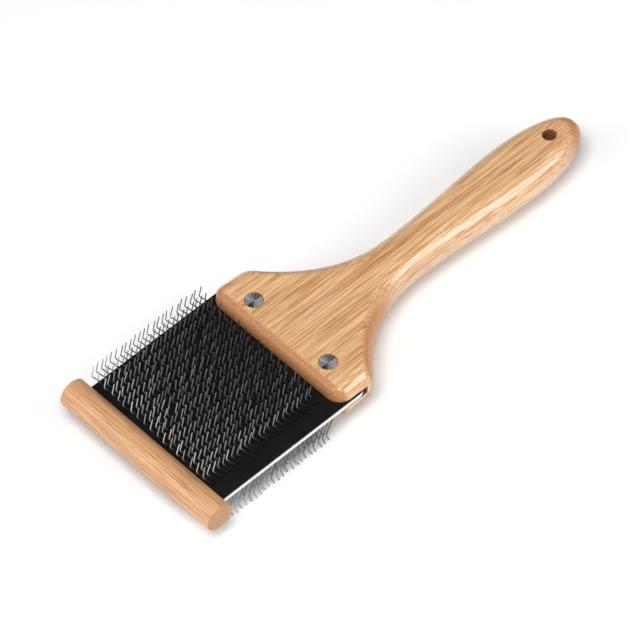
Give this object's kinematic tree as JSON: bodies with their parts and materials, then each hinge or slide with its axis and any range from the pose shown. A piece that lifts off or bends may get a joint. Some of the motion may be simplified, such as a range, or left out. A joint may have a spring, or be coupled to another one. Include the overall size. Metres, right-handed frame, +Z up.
{
  "type": "two-sided carding brush",
  "caption": "Paint-brush shaped carding brush: flat bamboo handle, flexible black pad of bent wire pins on both faces held by two rivets, wooden dowel along the pad's free end.",
  "frame": {"origin": "middle of the outline, on the surface that the lower pins' tips stand on", "axes": "+X from the dowel to the grip end, along the handle; +Z up, out of the pad's upper face"},
  "size_m": [0.2594, 0.091, 0.0323],
  "materials": {
    "bamboo": "satin lacquered bamboo, fine lengthwise grain",
    "light_wood": "satin bare wood",
    "black_rubber": "matt",
    "white_fabric": "woven cotton",
    "pin_wire": "drawn wire",
    "rivet_steel": "turned, radial sheen"
  },
  "bodies": {
    "handle_body": {"handle": "bamboo", "left_rivet_tube": "rivet_steel", "right_rivet_tube": "rivet_steel", "left_rivet_shank": "rivet_steel", "right_rivet_shank": "rivet_steel"},
    "pad_body": {"front_dowel": "light_wood", "upper_rubber_face": "black_rubber", "upper_fabric_backing": "white_fabric", "lower_fabric_backing": "white_fabric", "lower_rubber_face": "black_rubber", "upper_wire_staples": "pin_wire", "lower_wire_staples": "pin_wire", "lower_corner_staples": "pin_wire"}
  },
  "joints": [
    {"name": "head_flex", "type": "hinge", "parent": "handle_body", "child": "pad_body", "pos_m": [-0.07147, 0, 0.01615], "axis": [0, 1, 0], "range_deg": [-15, 15], "stiffness_Nm_per_rad": 1, "deforming": ["upper_rubber_face", "upper_fabric_backing", "lower_fabric_backing", "lower_rubber_face", "upper_wire_staples", "lower_wire_staples", "lower_corner_staples"]}
  ]
}
